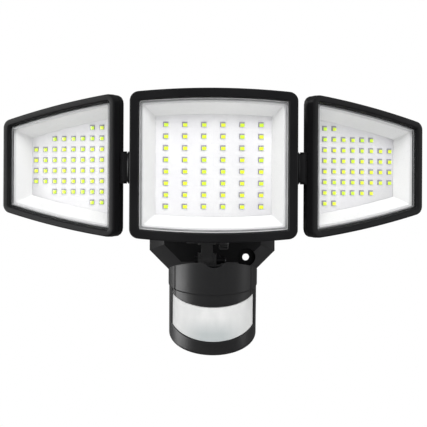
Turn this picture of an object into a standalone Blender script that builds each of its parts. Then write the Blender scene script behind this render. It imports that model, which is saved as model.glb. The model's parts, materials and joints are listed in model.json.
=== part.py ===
"""Three-head LED security floodlight with a motion sensor, for a wall or a junction box.

Frame: +X to the right, -Y towards the viewer, +Z up, origin at the middle of the wall face.
Sizes below are in millimetres; every mesh is turned into metres when its object is made.
"""

import math

import bmesh
import bpy
from mathutils import Matrix, Vector

MM = 0.001
GAP = 0.3  # between pieces that touch on the real lamp

# Base: a canopy like a flat pyramid with cut corners
BASE_HALF = 51.0
BASE_CORNER = 21.0
BASE_DEPTH = 32.0
BASE_SLOPE_INSET = 12.0
BASE_WALL = 2.5
PLATE_INSET = 3.6
PLATE_THICKNESS = 2.0
MOUNT_HOLE_AT = (27.2, -35.2)  # 89 mm apart on the diagonal, as on a round junction box
MOUNT_HOLE_RADIUS = 2.8
COUNTERBORE_RADIUS = 7.6
COUNTERBORE_SEAT = 12.0
BOSS_RADIUS = 9.8
WIRE_HOLE_AT = (0.0, -26.0)
WIRE_HOLE_RADIUS = 8.0
PLATE_SCREWS = ((34.0, 16.0), (-34.0, -16.0))

# Pivots, as (y, z)
HEAD_PIVOT = (-58.0, -18.0)
SENSOR_PIVOT = (-70.0, -37.0)
ARM_X = (-9.2, 0.0)
LEFT_EAR_X = (-11.9, -9.5)
RIGHT_EAR_X = (0.3, 2.7)
BOLT_RADIUS = 2.4
BOLT_HOLE_RADIUS = 2.8

# Heads: all depths run back from the front of the bezel
HEAD_CENTRE_Z = 37.4
SIDE_CENTRE_Z = 37.0
HEAD_FRONT_Y = -110.0
CENTRE = {
    "u": (-65.4, 65.4), "half": (56.5, 56.5), "bulge": 3.6, "corner": 7.4,
    "bezel": 7.7, "shoulder": 20.0, "rim": 11.7, "floor": 20.0, "cavity": 7.0,
    "rear_inset": 11.0,
}
SIDE = {
    "u": (3.2, 111.2), "half": (56.5, 35.8), "bulge": 2.0, "corner": 7.0,
    "bezel": 5.8, "shoulder": 14.5, "rim": 9.8, "floor": 17.0, "cavity": 10.0,
    "rear_inset": 9.8,
}
ARC_STEPS = 6
CORNER_STEPS = 4
BEZEL_DEPTH = 7.4
LENS_DEPTH = (3.4, 5.4)
GASKET_DEPTH = (5.7, 6.7)
REFLECTOR_TOP = 5.7
BOARD_DEPTH = (17.3, 18.8)
CAVITY_FLOOR = 19.1
REAR_FACE = 24.0
FIN_DEPTH = 31.0

# Hinges of the side heads
HINGE_X = 70.2
HINGE_Y = -96.0
HINGE_Z = 35.5
REST_SWING = 33.0
SIDE_FRONT = 8.3  # the bezel's front plane lies this far in front of the hinge pin
BARREL_RADIUS = 3.1
HINGE_HALF_HEIGHT = 12.5
STUB_HALF_HEIGHT = 6.0

# Sensor drum, in the frame of its tilt pivot
SENSOR_TILT = 14.0
DRUM_Y = -2.5
DRUM_RADIUS = 34.9
BROW_RADIUS = 34.3
DRUM_WALL = 2.2
HOOD_TOP = (-6.2, -0.418)  # a slanting plane, as (height at the axis, fall towards the front)
RIDGE = -18.5
LENS_TOP = (-19.5, 0.256)
LENS_BOTTOM = (-42.9, 0.40)
DRUM_BOTTOM = (-60.0, 0.24)
SEAT = -12.8  # floor of the pocket in the hood that the yoke turns in
POCKET_RADIUS = 15.9
POCKET_WALL = 1.6
NOTCH = (0.8, 13.4, 10.0)  # x, z and radius of the groove in the hood's front lip
SPLIT_FORWARD = 17.6
WINDOW_FORWARD = 11.6
LENS_ANGLE = 68.3
LENS_RADIUS = 33.8
LENS_WALL = 1.2
DRUM_SIDES = 32
POST_RADIUS = 6.0
KNOB_RADIUS = 4.6
KNOB_PITCH = 14.0


def clear_scene():
    for obj in list(bpy.data.objects):
        bpy.data.objects.remove(obj)


def material(name, colour, roughness, metallic=0.0, alpha=1.0):
    mat = bpy.data.materials.new(name)
    mat.use_nodes = True
    shader = mat.node_tree.nodes["Principled BSDF"]
    shader.inputs["Base Color"].default_value = (*colour, 1.0)
    shader.inputs["Roughness"].default_value = roughness
    shader.inputs["Metallic"].default_value = metallic
    shader.inputs["Alpha"].default_value = alpha
    return mat


def joint_frame(name, place, turn=(0.0, 0.0, 0.0), parent=None):
    """An empty on a joint's axis. Place is in millimetres and turn in degrees, in the parent."""
    empty = bpy.data.objects.new(name, None)
    bpy.context.scene.collection.objects.link(empty)
    empty.parent = parent
    empty.location = Vector(place) * MM
    empty.rotation_euler = [math.radians(angle) for angle in turn]
    return empty


def make_object(name, bm, frame):
    bmesh.ops.recalc_face_normals(bm, faces=bm.faces)
    bmesh.ops.scale(bm, vec=(MM, MM, MM), verts=bm.verts)
    mesh = bpy.data.meshes.new(name)
    bm.to_mesh(mesh)
    bm.free()
    obj = bpy.data.objects.new(name, mesh)
    bpy.context.scene.collection.objects.link(obj)
    obj.parent = frame
    return obj


def piece(name, bm, frame, mat):
    obj = make_object(name, bm, frame)
    obj.data.materials.append(mat)
    obj.data.shade_smooth()
    obj.data.set_sharp_from_angle(angle=math.radians(35))
    return obj


def boolean(obj, operation, *shapes):
    """Cuts or joins each shape as a live Boolean modifier with a hidden helper object."""
    for shape in shapes:
        helper = shape
        if isinstance(shape, bmesh.types.BMesh):
            helper = make_object(f"{obj.name}_helper", shape, obj.parent)
        helper.hide_render = True
        helper.display_type = "WIRE"
        modifier = obj.modifiers.new(operation.title(), "BOOLEAN")
        modifier.operation = operation
        modifier.object = helper
    return obj


# Outlines and solids

def circle(centre, radius, sides=24, start=0.0, sweep=360.0):
    full = abs(sweep) >= 360.0
    count = sides if full else sides + 1
    angles = [math.radians(start + sweep * k / sides) for k in range(count)]
    return [(centre[0] + radius * math.cos(a), centre[1] + radius * math.sin(a)) for a in angles]


def capsule(p, radius_p, q, radius_q, steps=12):
    """The outline of two round ends and the straight sides between them."""
    heading = math.degrees(math.atan2(q[1] - p[1], q[0] - p[0]))
    reach = math.dist(p, q)
    spread = math.degrees(math.acos((radius_p - radius_q) / reach))
    first = circle(p, radius_p, steps, heading + spread, 360.0 - 2 * spread)
    second = circle(q, radius_q, steps, heading - spread, 2 * spread)
    return first + second


def placed(axis, along, pair):
    a, b = pair
    return Vector({"x": (along, a, b), "y": (a, along, b), "z": (a, b, along)}[axis])


def loft(rings, closed=False):
    """A solid through rings of equal count: capped at both ends, or closed round on itself."""
    bm = bmesh.new()
    rows = [[bm.verts.new(point) for point in ring] for ring in rings]
    count = len(rows[0])
    pairs = list(zip(rows, rows[1:]))
    if closed:
        pairs.append((rows[-1], rows[0]))
    else:
        bm.faces.new(rows[0])
        bm.faces.new(list(reversed(rows[-1])))
    for lower, upper in pairs:
        for k in range(count):
            n = (k + 1) % count
            bm.faces.new((lower[k], upper[k], upper[n], lower[n]))
    return bm


def prism(outline, low, high, axis):
    return loft([[placed(axis, along, pair) for pair in outline] for along in (low, high)])


def box(low, high):
    outline = [(low[0], low[1]), (high[0], low[1]), (high[0], high[1]), (low[0], high[1])]
    return prism(outline, low[2], high[2], "z")


def rod(centre, radius, low, high, axis, sides=24):
    return prism(circle(centre, radius, sides), low, high, axis)


def turned(profile, centre, axis, sides=24):
    """A solid of revolution through (radius, place along the axis) points."""
    return loft([[placed(axis, along, pair) for pair in circle(centre, radius, sides)]
                 for radius, along in profile])


def tube(centre, inner, outer, low, high, axis, sides=24):
    profile = ((outer, low), (outer, high), (inner, high), (inner, low))
    return loft([[placed(axis, along, pair) for pair in circle(centre, radius, sides)]
                 for radius, along in profile], closed=True)


def together(*shapes):
    """Several separate bodies in one mesh, for a helper that cuts them all at once."""
    total = bmesh.new()
    for shape in shapes:
        spare = bpy.data.meshes.new("spare")
        shape.to_mesh(spare)
        shape.free()
        total.from_mesh(spare)
        bpy.data.meshes.remove(spare)
    return total


def rounded(points, radii):
    """A polygon with each corner that has a radius turned into an arc."""
    outline = []
    count = len(points)
    for k, (point, radius) in enumerate(zip(points, radii)):
        here = Vector(point)
        if radius == 0.0:
            outline.append(tuple(here))
            continue
        before = (Vector(points[k - 1]) - here).normalized()
        after = (Vector(points[(k + 1) % count]) - here).normalized()
        half = before.angle(after) / 2
        start = here + before * (radius / math.tan(half))
        middle = here + (before + after).normalized() * (radius / math.sin(half))
        arm = start - middle
        turn = math.pi - 2 * half
        sense = 1.0 if before.cross(after) < 0 else -1.0
        for step in range(CORNER_STEPS + 1):
            spun = Matrix.Rotation(sense * turn * step / CORNER_STEPS, 2) @ arm
            outline.append(tuple(middle + spun))
    return outline


# Base

def canopy_outline(inset):
    """A square with cut corners, every side moved in by the inset."""
    half = BASE_HALF - inset
    cut = BASE_CORNER - inset * (2 - math.sqrt(2))
    quarter = [(half, -half + cut), (half, half - cut)]
    outline = []
    for turn in range(4):
        spin = Matrix.Rotation(turn * math.pi / 2, 2)
        outline += [tuple(spin @ Vector(point)) for point in quarter]
    return outline


def canopy_solid(inset, front, back):
    rings = []
    for y in (front, back):
        taper = BASE_SLOPE_INSET * (-y / BASE_DEPTH)
        rings.append([placed("y", y, pair) for pair in canopy_outline(inset + taper)])
    return loft(rings)


def build_base(frame, looks):
    holes = [MOUNT_HOLE_AT, (-MOUNT_HOLE_AT[0], -MOUNT_HOLE_AT[1])]
    plate_y = -PLATE_THICKNESS
    housing = piece("base_housing", canopy_solid(0.0, -BASE_DEPTH, 0.0), frame, looks["black"])
    cavity = make_object("base_cavity", canopy_solid(BASE_WALL, -BASE_DEPTH + BASE_WALL, 1.0), frame)
    bosses = [rod(at, BOSS_RADIUS, -BASE_DEPTH - 1, plate_y - GAP, "y") for at in holes]
    bosses += [rod(at, 4.0, -BASE_DEPTH - 1, plate_y - GAP, "y", 20) for at in PLATE_SCREWS]
    boolean(cavity, "DIFFERENCE", together(*bosses))
    boolean(housing, "DIFFERENCE", cavity)
    cuts = [rod(at, COUNTERBORE_RADIUS, -BASE_DEPTH - 2, -COUNTERBORE_SEAT, "y") for at in holes]
    boolean(housing, "DIFFERENCE", together(*cuts))
    bores = [rod(at, MOUNT_HOLE_RADIUS, -BASE_DEPTH, 1.0, "y") for at in holes]
    bores += [rod(at, 1.8, -12.0, 1.0, "y", 16) for at in PLATE_SCREWS]
    boolean(housing, "DIFFERENCE", together(*bores))
    slot = box((-8.6, -BASE_DEPTH - 1, -19.0), (-0.6, -BASE_DEPTH + BASE_WALL + 1, -9.0))
    boolean(housing, "DIFFERENCE", slot)

    plate = piece("base_back_plate", prism(canopy_outline(PLATE_INSET), plate_y, 0.0, "y"),
                  frame, looks["steel"])
    openings = [rod(at, MOUNT_HOLE_RADIUS + 0.4, plate_y - 1, 1.0, "y") for at in holes]
    openings.append(rod(WIRE_HOLE_AT, WIRE_HOLE_RADIUS, plate_y - 1, 1.0, "y"))
    openings += [turned(((1.8, -3.0), (1.8, -1.2), (3.4, -1.2), (3.4, 1.0)), at, "y", 20)
                 for at in PLATE_SCREWS]
    boolean(plate, "DIFFERENCE", together(*openings))

    grommet = ((4.6, -4.4), (9.6, -4.4), (9.6, -2.3), (7.7, -2.3), (7.7, -0.2), (4.6, -0.2))
    rings = [[placed("y", y, pair) for pair in circle(WIRE_HOLE_AT, radius)]
             for radius, y in grommet]
    piece("wire_grommet", loft(rings, closed=True), frame, looks["rubber"])

    for label, at in zip(("right", "left"), PLATE_SCREWS):
        screw = turned(((1.4, -9.0), (1.4, -2.5), (1.4, -0.9), (3.0, -0.9), (3.0, -0.2), (2.4, -0.2)),
                       at, "y", 12)
        piece(f"plate_screw_{label}", screw, frame, looks["dark_metal"])

    piece("driver_board", box((-30.0, -9.6, -22.0), (30.0, -8.0, 24.0)), frame, looks["board_green"])
    piece("driver_transformer", box((-22.0, -24.0, -2.0), (-4.0, -9.9, 16.0)), frame, looks["steel"])
    piece("driver_capacitor", rod((12.0, -17.0), 5.0, -18.0, 12.0, "z"), frame, looks["dark_metal"])


def build_arm(frame, looks):
    """The cast arm in front of the base, with the pivots of the lamp and of the sensor."""
    root = (-34.0, -6.0)
    arm = piece("support_arm", prism(capsule(root, 12.5, HEAD_PIVOT, 8.0), *ARM_X, "x"), frame,
                looks["black"])
    boolean(arm, "UNION", prism(capsule(HEAD_PIVOT, 8.0, SENSOR_PIVOT, 6.5), *ARM_X, "x"))
    flange = box((-21.0, -36.3, -24.0), (12.0, -BASE_DEPTH - GAP, 14.0))
    boolean(arm, "UNION", flange)
    behind = box((-30.0, -BASE_DEPTH - GAP, -30.0), (20.0, -10.0, 20.0))
    boolean(arm, "DIFFERENCE", behind)
    for y, z in (HEAD_PIVOT, SENSOR_PIVOT):
        boolean(arm, "DIFFERENCE", rod((y, z), BOLT_HOLE_RADIUS, ARM_X[0] - 1, ARM_X[1] + 1, "x"))
    for label, x in (("left", -16.0), ("right", 6.5)):
        boolean(arm, "DIFFERENCE", rod((x, -5.0), 1.9, -40.0, -30.0, "y", 20))
        screw = turned(((1.5, -33.0), (1.5, -36.6), (3.0, -36.6), (3.0, -37.6), (2.2, -38.6)),
                       (x, -5.0), "y", 20)
        piece(f"arm_screw_{label}", screw, frame, looks["dark_metal"])


# Lamp heads, in head coordinates: u across, depth back from the bezel's front, w up

def head_outline(shape, inset):
    left, right = shape["u"]
    half_left, half_right = shape["half"]
    slope = (half_right - half_left) / (right - left)
    start = left + inset
    end = right - inset

    def half_height(u):
        t = (u - left) / (right - left)
        bulge = 4 * shape["bulge"] * t * (1 - t)
        return half_left + slope * (u - left) + bulge - inset * math.hypot(1, slope)

    across = [start + (end - start) * k / ARC_STEPS for k in range(ARC_STEPS + 1)]
    top = [(u, half_height(u)) for u in across]
    points = top + [(u, -w) for u, w in reversed(top)]
    corner = max(shape["corner"] - inset, 1.0)
    radii = [0.0] * len(points)
    for place in (0, ARC_STEPS, ARC_STEPS + 1, -1):
        radii[place] = corner
    return rounded(points, radii)


def head_ring(shape, inset, depth, front):
    return [Vector((u, front + depth, w)) for u, w in head_outline(shape, inset)]


def head_rings(shape, profile, front):
    return [head_ring(shape, inset, depth, front) for inset, depth in profile]


def bezel_profile(shape):
    window = shape["bezel"]
    return (
        (0.0, 0.9), (0.9, 0.0), (window - 2.0, 0.0), (window - 0.8, 1.0), (window, 3.1),
        (2.6, 3.1), (2.6, BEZEL_DEPTH), (0.0, BEZEL_DEPTH),
    )


def lens_profile(shape):
    front, back = LENS_DEPTH
    step = shape["bezel"] + 1.6
    return ((3.0, back), (3.0, front), (step - 0.6, front), (step, front - 0.8))


def reflector_profile(shape):
    rim = shape["rim"]
    floor = shape["floor"]
    bottom = BOARD_DEPTH[0] - GAP
    return (
        (6.7, REFLECTOR_TOP), (rim, REFLECTOR_TOP), (floor, bottom),
        (floor - 1.4, bottom), (rim - 1.4, REFLECTOR_TOP + 1.4), (6.7, REFLECTOR_TOP + 1.4),
    )


def housing_profile(shape):
    shoulder = shape["shoulder"]
    return (
        (shape["cavity"], CAVITY_FLOOR), (6.2, 10.0), (6.2, GASKET_DEPTH[1] + GAP),
        (2.9, GASKET_DEPTH[1] + GAP), (2.9, BEZEL_DEPTH + GAP), (0.0, BEZEL_DEPTH + GAP),
        (0.4, shoulder - 1.0), (1.4, shoulder), (shape["rear_inset"], REAR_FACE),
    )


def fins(places, front):
    back = front + FIN_DEPTH
    return together(*[box((u - 1.0, front + REAR_FACE - 1.5, low), (u + 1.0, back, high))
                      for u, low, high in places])


def mirror_x(obj):
    """Turns a right-hand mesh into its left-hand twin."""
    bm = bmesh.new()
    bm.from_mesh(obj.data)
    bmesh.ops.scale(bm, vec=(-1, 1, 1), verts=bm.verts)
    bmesh.ops.reverse_faces(bm, faces=bm.faces)
    bm.to_mesh(obj.data)
    bm.free()


def build_head(label, shape, frame, front, looks, fin_places, screw_places, height):
    """The stack of pieces that every lamp head has. Height is the head's middle in its frame."""
    lift = Matrix.Translation((0.0, 0.0, height))

    def raised(bm):
        bm.transform(lift)
        return bm

    def ring_piece(name, profile, look, closed):
        bm = raised(loft(head_rings(shape, profile, front), closed))
        return piece(f"{label}_{name}", bm, frame, looks[look])

    gasket = ((3.2, GASKET_DEPTH[0]), (6.3, GASKET_DEPTH[0]), (6.3, GASKET_DEPTH[1]),
              (3.2, GASKET_DEPTH[1]))
    board_edge = shape["floor"] - 3.0
    parts = {
        "bezel": ring_piece("bezel", bezel_profile(shape), "black", True),
        "lens": ring_piece("lens", lens_profile(shape), "clear", False),
        "gasket": ring_piece("gasket", gasket, "rubber", True),
        "reflector": ring_piece("reflector", reflector_profile(shape), "white", True),
        "board": ring_piece("led_board", [(board_edge, depth) for depth in BOARD_DEPTH],
                            "white", False),
        "housing": ring_piece("rear_housing", housing_profile(shape), "black", False),
    }
    boolean(parts["housing"], "UNION", raised(fins(fin_places, front)))
    holes = [rod(at, 1.8, front + CAVITY_FLOOR - 2, front + FIN_DEPTH + 2, "y", 16)
             for at in screw_places]
    boolean(parts["housing"], "DIFFERENCE", raised(together(*holes)))
    rear = front + REAR_FACE + GAP
    profile = ((1.4, rear - 4.6), (1.4, rear), (2.9, rear), (2.9, rear + 1.0), (2.1, rear + 2.0))
    for number, at in enumerate(screw_places, 1):
        screw = raised(turned(profile, at, "y", 12))
        parts[f"screw_{number}"] = piece(f"{label}_rear_screw_{number}", screw, frame,
                                         looks["dark_metal"])
    return parts


def build_centre_head(frame, looks):
    pivot_y, pivot_z = HEAD_PIVOT
    front = HEAD_FRONT_Y - pivot_y
    height = HEAD_CENTRE_Z - pivot_z
    fin_list = [(sign * (31.0 + 5.5 * k), -41.0, 41.0) for sign in (-1, 1) for k in range(4)]
    fin_list += [(5.5 * k, 12.0, 41.0) for k in range(-4, 5)]
    corners = [(sign_u * 51.5, sign_w * 45.5) for sign_u in (-1, 1) for sign_w in (-1, 1)]
    parts = build_head("centre", CENTRE, frame, front, looks, fin_list, corners, height)
    shaft_z = HINGE_Z - pivot_z
    shaft_y = HINGE_Y - pivot_y
    boolean(parts["housing"], "DIFFERENCE", rod((shaft_y, shaft_z), 4.1, -70.0, 70.0, "x"))

    yoke_y = front + REAR_FACE + GAP
    yoke = piece("centre_yoke", box((-23.0, yoke_y, 2.0), (19.0, yoke_y + 3.4, 40.0)), frame,
                 looks["dark_metal"])
    ear = capsule((yoke_y + 3.0, 12.0), 8.5, (0.0, 0.0), 7.0)
    for low, high in (LEFT_EAR_X, RIGHT_EAR_X):
        boolean(yoke, "UNION", prism(ear, low, high, "x"))
    boolean(yoke, "DIFFERENCE", box((-30.0, yoke_y - 20.0, -30.0), (30.0, yoke_y, 60.0)))
    bolt_bore = rod((0.0, 0.0), BOLT_HOLE_RADIUS, LEFT_EAR_X[0] - 1, RIGHT_EAR_X[1] + 1, "x")
    boolean(yoke, "DIFFERENCE", bolt_bore)
    for label, x in (("left", -18.0), ("right", 14.0)):
        boolean(yoke, "DIFFERENCE", rod((x, 32.0), 1.8, yoke_y - 2, yoke_y + 6, "y", 16))
        profile = ((1.4, yoke_y + 0.2), (1.4, yoke_y + 3.7), (2.9, yoke_y + 3.7),
                   (2.9, yoke_y + 4.7), (2.1, yoke_y + 5.7))
        piece(f"yoke_screw_{label}", turned(profile, (x, 32.0), "y", 12), frame,
              looks["dark_metal"])
    profile = ((4.6, -15.2), (4.6, -12.2), (BOLT_RADIUS, -12.2), (BOLT_RADIUS, 12.0))
    piece("head_tilt_bolt", turned(profile, (0.0, 0.0), "x", 24), frame, looks["dark_metal"])


def build_clamp_knob(frame, looks):
    """The fluted nut on the right end of the lamp's tilt bolt."""
    lobes = 8
    steps = 48
    outline = []
    for k in range(steps):
        angle = 2 * math.pi * k / steps
        radius = 9.8 + 0.7 * math.cos(lobes * angle)
        outline.append((radius * math.cos(angle), radius * math.sin(angle)))
    profile = ((0.9, 4.9), (1.0, 5.6), (1.0, 11.6), (0.9, 12.4))
    rings = [[placed("x", x, (a * size, b * size)) for a, b in outline] for size, x in profile]
    knob = piece("head_clamp_knob", loft(rings), frame, looks["black"])
    boolean(knob, "UNION", rod((0.0, 0.0), 6.0, 3.0, 6.0, "x"))
    boolean(knob, "DIFFERENCE", rod((0.0, 0.0), BOLT_HOLE_RADIUS, 2.0, 14.0, "x"))


def side_fins():
    places = []
    for k in range(12):
        u = SIDE["u"][0] + 22.0 + 5.5 * k
        t = (u - SIDE["u"][0]) / (SIDE["u"][1] - SIDE["u"][0])
        half = 36.0 - 17.0 * t
        places.append((u, -half, half))
    return places


def build_side_head(label, sign, centre_frame, looks):
    pivot_y, pivot_z = HEAD_PIVOT
    place = (sign * HINGE_X, HINGE_Y - pivot_y, HINGE_Z - pivot_z)
    pivot = joint_frame(f"{label}_pivot_joint", place, parent=centre_frame)
    swing = joint_frame(f"{label}_head_joint", (0.0, 0.0, 0.0), (0.0, 0.0, sign * REST_SWING), pivot)
    start = set(bpy.data.objects)
    height = SIDE_CENTRE_Z - HINGE_Z
    screws = [(20.0, 30.0), (94.0, -18.0)]
    parts = build_head(label, SIDE, swing, -SIDE_FRONT, looks, side_fins(), screws, height)
    housing = parts["housing"]
    low, high = -HINGE_HALF_HEIGHT, HINGE_HALF_HEIGHT
    rim = BEZEL_DEPTH + GAP - SIDE_FRONT
    ear = [(-2.2, 1.9), (0.9, 4.6), (5.6, 4.6), (5.6, rim + 0.3), (2.7, rim + 0.3), (2.7, -0.6),
           (1.6, -1.6)]
    boolean(housing, "UNION", prism(ear, low, high, "z"))
    boolean(housing, "UNION", rod((0.0, 0.0), BARREL_RADIUS - 0.5, low, high, "z", 24))
    slot = STUB_HALF_HEIGHT + GAP
    boolean(housing, "DIFFERENCE", box((-6.0, -6.0, -slot), (2.9, 6.0, slot)))
    boolean(housing, "DIFFERENCE", rod((0.0, 0.0), 1.7, low - 1, high + 1, "z", 20))
    pin = rod((0.0, 0.0), 1.4, low + 0.2, high - 0.2, "z", 20)
    piece(f"{label}_hinge_pin", pin, pivot, looks["dark_metal"])

    wall = HINGE_X - CENTRE["u"][1]
    disc = turned(((11.3, -3.0), (12.5, -3.8), (12.5, -wall + GAP), (3.7, -wall + GAP), (3.7, -14.6)),
                  (0.0, 0.0), "x", 32)
    stub = piece(f"{label}_hinge_stub", disc, pivot, looks["black"])
    neck = box((-3.6, -2.4, -STUB_HALF_HEIGHT), (0.5, 2.4, STUB_HALF_HEIGHT))
    boolean(stub, "UNION", neck)
    boolean(stub, "UNION", box((-3.6, -4.2, -10.8), (0.8, -3.3, 10.8)))
    boolean(stub, "UNION", rod((0.0, 0.0), BARREL_RADIUS - 0.5, -STUB_HALF_HEIGHT,
                               STUB_HALF_HEIGHT, "z", 24))
    boolean(stub, "DIFFERENCE", rod((0.0, 0.0), 1.7, -10.0, 10.0, "z", 20))
    clip = tube((0.0, 0.0), 4.0, 4.9, -14.4, -12.9, "x", 20)
    piece(f"{label}_pivot_clip", clip, pivot, looks["dark_metal"])
    if sign < 0:
        for obj in set(bpy.data.objects) - start:
            mirror_x(obj)


# Sensor, in the frame of its tilt pivot

def drum_ring(radius, height, slope=0.0, angles=None):
    """A ring round the drum. A slope lowers its front and raises its back."""
    if angles is None:
        angles = [360.0 * k / DRUM_SIDES for k in range(DRUM_SIDES)]
    ring = []
    for angle in angles:
        forward = radius * math.cos(math.radians(angle))
        side = radius * math.sin(math.radians(angle))
        ring.append(Vector((side, DRUM_Y - forward, height - slope * forward)))
    return ring


def plane_side(edge, above):
    """A block with one slanting face, lying above or below the plane (height, slope)."""
    height, slope = edge
    far = 80.0
    outer = far if above else -far
    outline = [(DRUM_Y - far, height - slope * far), (DRUM_Y + far, height + slope * far),
               (DRUM_Y + far, outer + height), (DRUM_Y - far, outer + height)]
    return prism(outline, -far, far, "x")


def hood_part(name, lower_edge, region, frame, look):
    """The part of the drum's hood that lies in a region: wall, slanting top and pocket."""
    low, high = LENS_BOTTOM[0] - 30.0, 16.0
    rings = [drum_ring(BROW_RADIUS, low), drum_ring(BROW_RADIUS, RIDGE),
             drum_ring(DRUM_RADIUS, RIDGE + 0.6), drum_ring(DRUM_RADIUS, high)]
    hood = piece(name, loft(rings), frame, look)
    top_height, top_slope = HOOD_TOP
    ceiling = (top_height - DRUM_WALL * math.hypot(1, top_slope), top_slope)
    inner = BROW_RADIUS - DRUM_WALL
    hollow = make_object(f"{name}_hollow", loft([drum_ring(inner, low - 1), drum_ring(inner, high)]),
                         frame)
    boolean(hollow, "DIFFERENCE", plane_side(ceiling, True))
    boolean(hollow, "DIFFERENCE", rod((0.0, DRUM_Y), POCKET_RADIUS + POCKET_WALL, SEAT - DRUM_WALL,
                                      high + 2, "z", 40))
    boolean(hood, "DIFFERENCE", hollow)
    boolean(hood, "DIFFERENCE", plane_side(HOOD_TOP, True))
    boolean(hood, "DIFFERENCE", plane_side(lower_edge, False))
    boolean(hood, "DIFFERENCE", rod((0.0, DRUM_Y), POCKET_RADIUS, SEAT, high + 2, "z", 40))
    boolean(hood, "INTERSECT", region)
    return hood


def build_sensor_top(tilt_frame, swivel_frame, looks):
    wide = 80.0
    split = DRUM_Y - SPLIT_FORWARD
    window = DRUM_Y - WINDOW_FORWARD
    top = LENS_TOP[0] + GAP
    in_front = box((-wide, -wide, -wide), (wide, split - GAP / 2, wide))
    cap = hood_part("sensor_front_cap", (top, LENS_TOP[1]), in_front, swivel_frame, looks["black"])
    notch_x, notch_z, notch_radius = NOTCH
    boolean(cap, "DIFFERENCE", rod((notch_x, notch_z), notch_radius, -60.0, 0.0, "y", 32))
    outline = [(split + GAP / 2, wide), (split + GAP / 2, top - LENS_TOP[1] * SPLIT_FORWARD),
               (window, top - LENS_TOP[1] * WINDOW_FORWARD), (window, -wide), (wide, -wide),
               (wide, wide)]
    shell = hood_part("sensor_rear_shell", (LENS_BOTTOM[0] + GAP, LENS_BOTTOM[1]),
                      prism(outline, -wide, wide, "x"), swivel_frame, looks["black"])
    bore = rod((0.0, DRUM_Y), POST_RADIUS + 0.4, SEAT - 6, SEAT + 4, "z")
    boolean(shell, "DIFFERENCE", bore)

    disc_low = SEAT + GAP
    profile = ((POST_RADIUS, SEAT - 5.0), (POST_RADIUS, disc_low), (12.2, disc_low),
               (12.2, disc_low + 2.4), (11.4, disc_low + 3.2))
    yoke = piece("sensor_yoke", turned(profile, (0.0, DRUM_Y), "z", 32), tilt_frame, looks["black"])
    ear = capsule((0.0, 0.0), 6.0, (DRUM_Y, disc_low + 1.0), 6.3)
    for low, high in (LEFT_EAR_X, RIGHT_EAR_X):
        boolean(yoke, "UNION", prism(ear, low, high, "x"))
    below = tube((0.0, DRUM_Y), POST_RADIUS + 0.01, 20.0, disc_low - 12.0, disc_low, "z", 32)
    boolean(yoke, "DIFFERENCE", below)
    bore = rod((0.0, 0.0), BOLT_HOLE_RADIUS, LEFT_EAR_X[0] - 1, RIGHT_EAR_X[1] + 1, "x")
    boolean(yoke, "DIFFERENCE", bore)
    clip = tube((0.0, DRUM_Y), POST_RADIUS + GAP, 9.2, SEAT - 4.2, SEAT - DRUM_WALL - GAP, "z", 24)
    piece("sensor_swivel_clip", clip, tilt_frame, looks["dark_metal"])
    profile = ((3.4, -14.3), (3.4, -12.2), (BOLT_RADIUS, -12.2), (BOLT_RADIUS, 3.0), (3.4, 3.0),
               (3.4, 6.2), (BOLT_RADIUS, 6.2), (BOLT_RADIUS, 9.6), (1.8, 10.4))
    piece("sensor_tilt_bolt", turned(profile, (0.0, 0.0), "x", 24), tilt_frame, looks["dark_metal"])


def build_lens(frame, looks):
    angles = [-LENS_ANGLE + 2 * LENS_ANGLE * k / 16 for k in range(17)]
    inner = LENS_RADIUS - LENS_WALL
    top, top_slope = LENS_TOP
    bottom, bottom_slope = LENS_BOTTOM
    rings = [
        drum_ring(LENS_RADIUS, bottom + GAP, bottom_slope, angles),
        drum_ring(LENS_RADIUS, top - GAP, top_slope, angles),
        drum_ring(inner, top - GAP, top_slope, angles),
        drum_ring(inner, bottom + GAP, bottom_slope, angles),
    ]
    columns = [list(column) for column in zip(*rings)]
    piece("sensor_lens", loft(columns), frame, looks["frosted"])


def build_sensor_bottom(frame, looks):
    """The chin band and the slanting floor, as one cup, with its three adjusting knobs."""
    height, slope = DRUM_BOTTOM
    upper, upper_slope = LENS_BOTTOM
    inner = BROW_RADIUS - DRUM_WALL
    rings = [drum_ring(inner - 2.5, height + 2.4, slope), drum_ring(inner, height + 4.6, slope)]
    rings += [drum_ring(inner, upper - GAP, upper_slope)]
    rings += [drum_ring(BROW_RADIUS, upper - GAP, upper_slope)]
    for k in range(5):
        angle = math.radians(22.5 * k)
        rings.append(drum_ring(BROW_RADIUS - 3.0 + 3.0 * math.cos(angle),
                               height + 3.0 - 3.0 * math.sin(angle), slope))
    cover = piece("sensor_bottom_cover", loft(rings), frame, looks["black"])
    lean = math.degrees(math.atan(slope))
    panel = joint_frame("sensor_panel", (0.0, DRUM_Y, height), (lean, 0.0, 0.0), frame)
    for label, x in (("time", -KNOB_PITCH), ("lux", 0.0), ("range", KNOB_PITCH)):
        joint = joint_frame(f"{label}_knob_joint", (x, 0.0, 0.0), parent=panel)
        hole = make_object(f"{label}_hole", rod((0.0, 0.0), KNOB_RADIUS + 0.4, -6.0, 6.0, "z"), joint)
        boolean(cover, "DIFFERENCE", hole)
        knob = piece(f"{label}_knob", rod((0.0, 0.0), KNOB_RADIUS, -1.2, 4.5, "z"), joint,
                     looks["white"])
        boolean(knob, "DIFFERENCE", box((-3.6, -0.6, -2.0), (3.6, 0.6, -0.4)))

    board = box((-24.0, -14.0, -46.0), (24.0, -12.4, -19.0))
    piece("sensor_board", board, frame, looks["board_green"])
    pyro = turned(((4.6, -14.3), (4.6, -15.2), (4.1, -15.2), (4.1, -18.4)), (0.0, -37.0), "y", 24)
    piece("pyro_sensor", pyro, frame, looks["dark_metal"])


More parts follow.
